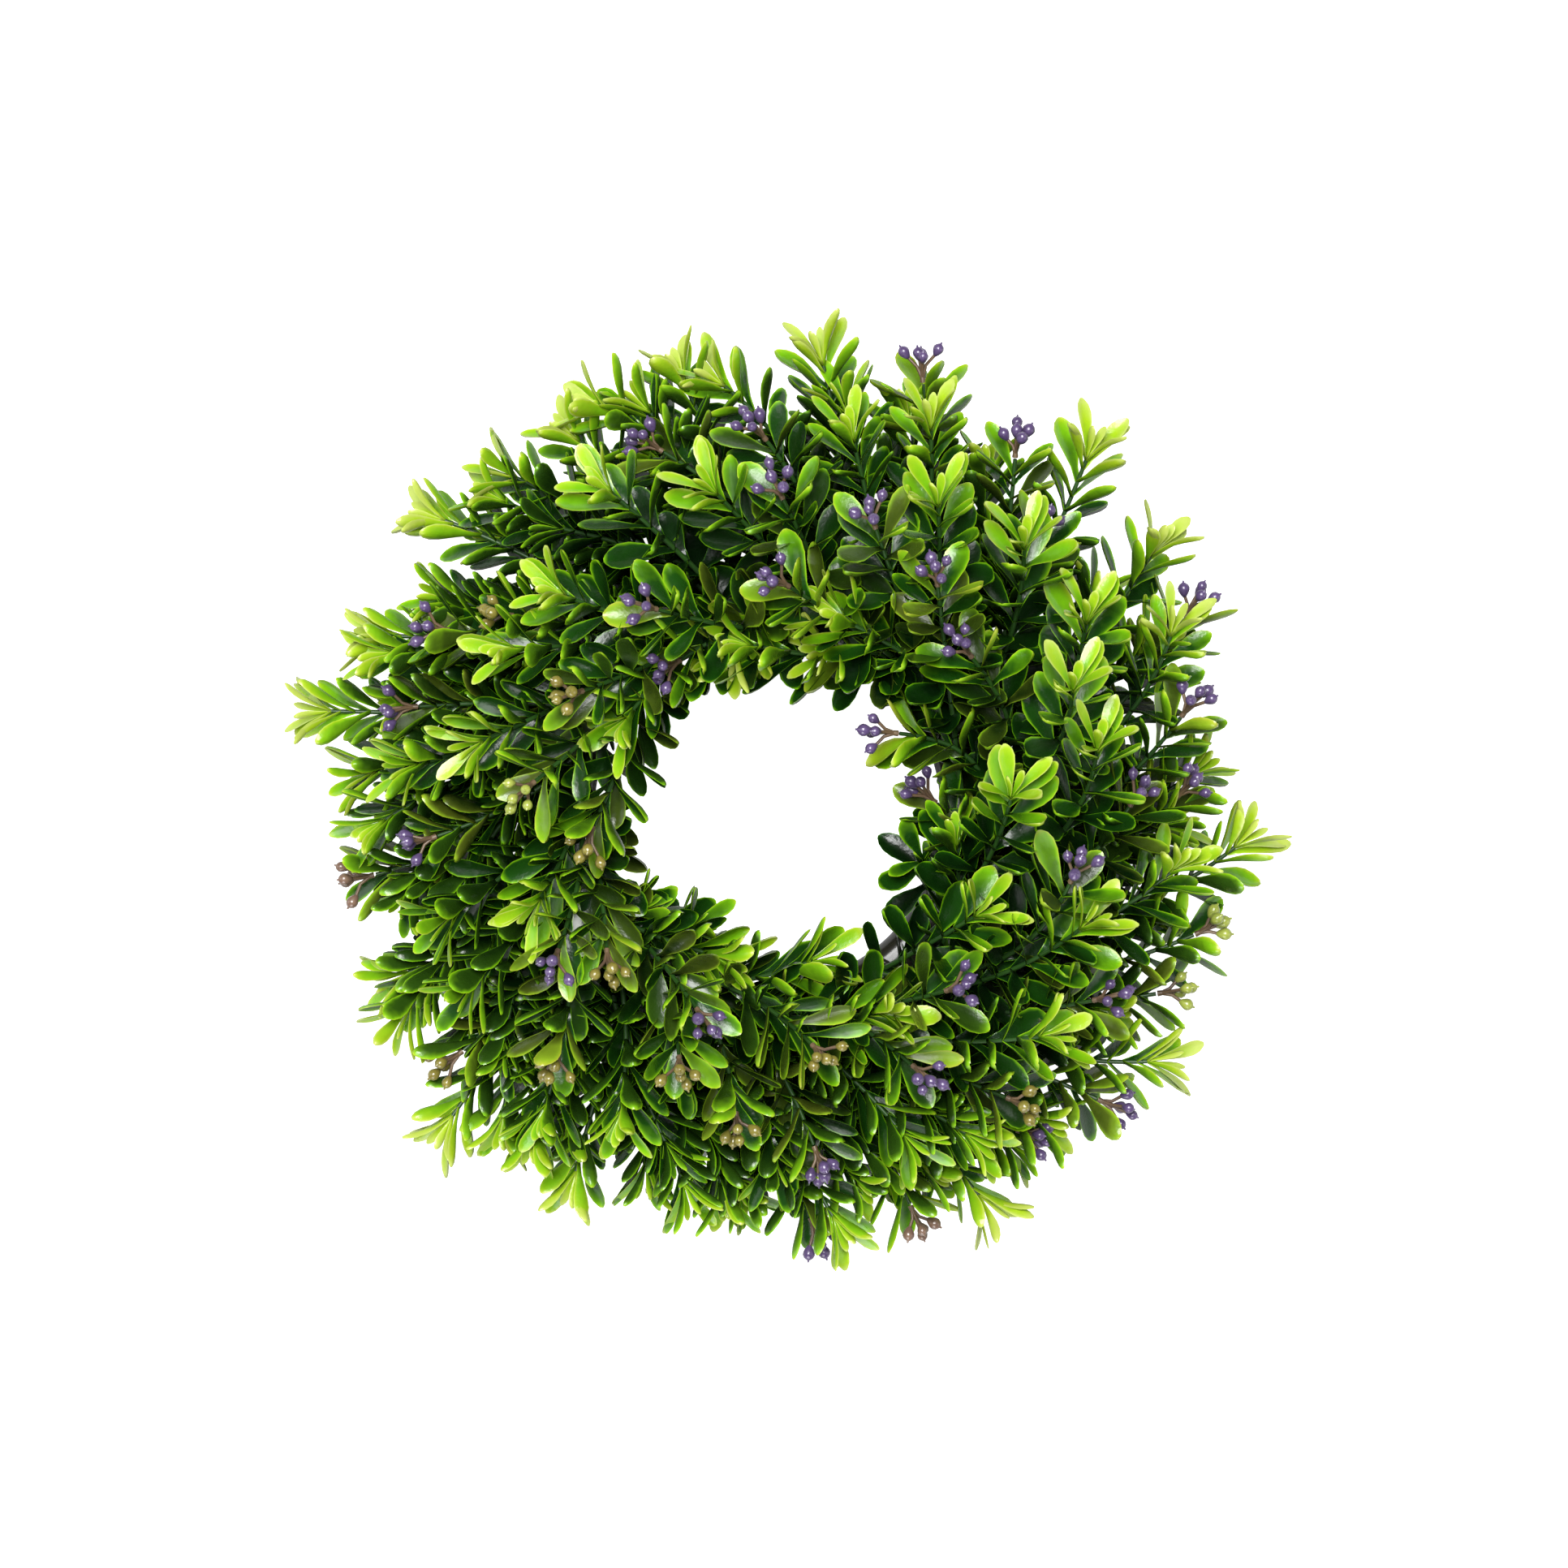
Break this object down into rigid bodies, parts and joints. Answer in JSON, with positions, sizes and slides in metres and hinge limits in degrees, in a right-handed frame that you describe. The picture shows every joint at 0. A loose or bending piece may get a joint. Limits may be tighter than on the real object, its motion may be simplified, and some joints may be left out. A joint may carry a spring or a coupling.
{
  "type": "artificial boxwood wreath",
  "caption": "Round artificial boxwood wreath: leafy plastic sprigs with small buds in bunches that stand out of a moulded ring with a flat back.",
  "frame": {"origin": "middle of the wreath's outline in plan, on the surface that the ring's flat back lies on", "axes": "+Z out of the wreath's front, +Y towards its top as pictured, +X to the right seen from the front"},
  "size_m": [0.2934, 0.2798, 0.0892],
  "materials": {
    "ring_plastic": "smooth, dark brown",
    "leaf_plastic": "soft gloss, from dark green at the stem to yellow-green at the tip",
    "bud_purple": "pearly",
    "bud_olive": "pearly"
  },
  "bodies": {
    "root": {"base_ring": "ring_plastic", "bunch_01": "leaf_plastic", "bunch_02": "leaf_plastic", "bunch_03": "leaf_plastic", "bunch_04": "leaf_plastic", "bunch_05": "leaf_plastic", "bunch_06": "leaf_plastic", "bunch_07": "leaf_plastic", "bunch_08": "leaf_plastic", "bunch_09": "leaf_plastic", "bunch_10": "leaf_plastic", "bunch_11": "leaf_plastic", "bunch_12": "leaf_plastic", "bunch_13": "leaf_plastic", "bunch_14": "leaf_plastic", "bud_spray_01": "bud_purple", "bud_spray_02": "bud_purple", "bud_spray_03": "bud_purple", "bud_spray_04": "bud_purple", "bud_spray_05": "bud_purple", "bud_spray_06": "bud_purple", "bud_spray_07": "bud_purple", "bud_spray_08": "bud_purple", "bud_spray_09": "bud_purple", "bud_spray_10": "bud_purple", "bud_spray_11": "bud_purple", "bud_spray_12": "bud_purple", "bud_spray_13": "bud_purple", "bud_spray_14": "bud_olive", "bud_spray_15": "bud_olive", "bud_spray_16": "bud_purple", "bud_spray_17": "bud_purple", "bud_spray_18": "bud_olive", "bud_spray_19": "bud_purple", "bud_spray_20": "bud_olive", "bud_spray_21": "bud_olive", "bud_spray_22": "bud_olive", "bud_spray_23": "bud_purple", "bud_spray_24": "bud_purple", "bud_spray_25": "bud_olive", "bud_spray_26": "bud_purple"}
  },
  "joints": []
}
